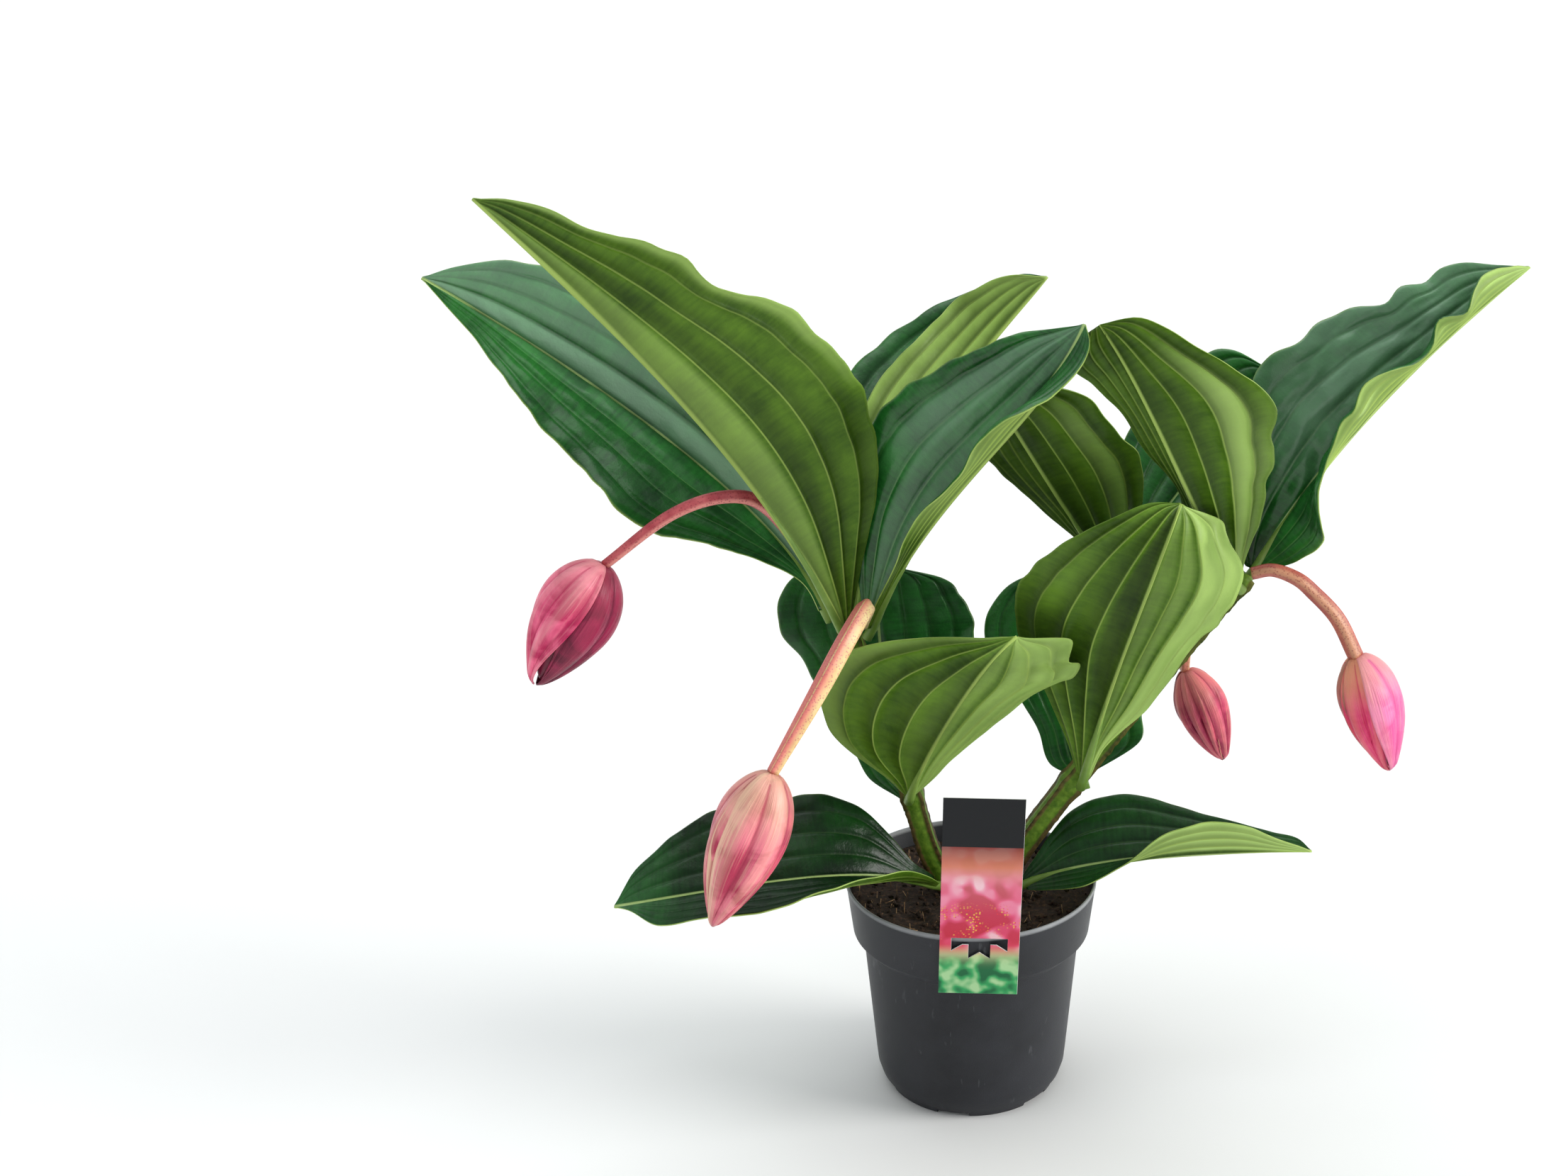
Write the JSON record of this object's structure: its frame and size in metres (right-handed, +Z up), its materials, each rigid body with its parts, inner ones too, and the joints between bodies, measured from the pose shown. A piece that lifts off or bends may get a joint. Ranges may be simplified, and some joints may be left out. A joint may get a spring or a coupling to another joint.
{
  "type": "potted medinilla",
  "caption": "Flowering medinilla with winged stems, large ribbed leaves and nodding pink buds, growing in a filled plastic nursery pot with a plant label hooked over its rim.",
  "frame": {"origin": "middle of the pot's foot, on the surface that the pot stands on", "axes": "+Z up along the pot's axis; -Y towards the side that the label hangs on; +X to the right of someone who looks at that side"},
  "size_m": [0.6943, 0.2601, 0.6195],
  "materials": {
    "pot_plastic": "dark grey moulded polypropylene, satin, slightly worn on the rim",
    "peat": "rough fibrous dark brown peat with light crumbs",
    "stem": "semi-woody green stem with brown corky wings",
    "leaf": "deep green glossy leathery blade with pale side veins, lighter yellow-green underneath",
    "flower_stalk": "salmon to cream, speckled pink, smooth",
    "bract": "fleshy satin bracts, rose pink with cream and magenta flushes",
    "label_card": "printed plastic card with a charcoal header over a red to green gradient, no lettering"
  },
  "bodies": {
    "root": {"pot": "pot_plastic", "soil": "peat", "stem_left": "stem", "stem_right": "stem", "leaf_left_tall": "leaf", "leaf_left_broad": "leaf", "leaf_centre_back": "leaf", "leaf_centre_front": "leaf", "leaf_right_upright": "leaf", "leaf_right_long": "leaf", "leaf_shoot_front": "leaf", "leaf_shoot_back": "leaf", "leaf_mid_right_front": "leaf", "leaf_mid_left_front": "leaf", "leaf_mid_left_back": "leaf", "leaf_mid_right_back": "leaf", "leaf_low_left": "leaf", "leaf_low_right": "leaf", "flower_stalk_left": "flower_stalk", "flower_stalk_front": "flower_stalk", "flower_stalk_right": "flower_stalk", "flower_stalk_back": "flower_stalk", "flower_bud_left": "bract", "flower_bud_front": "bract", "flower_bud_right": "bract", "flower_bud_back": "bract", "label": "label_card"}
  },
  "joints": []
}
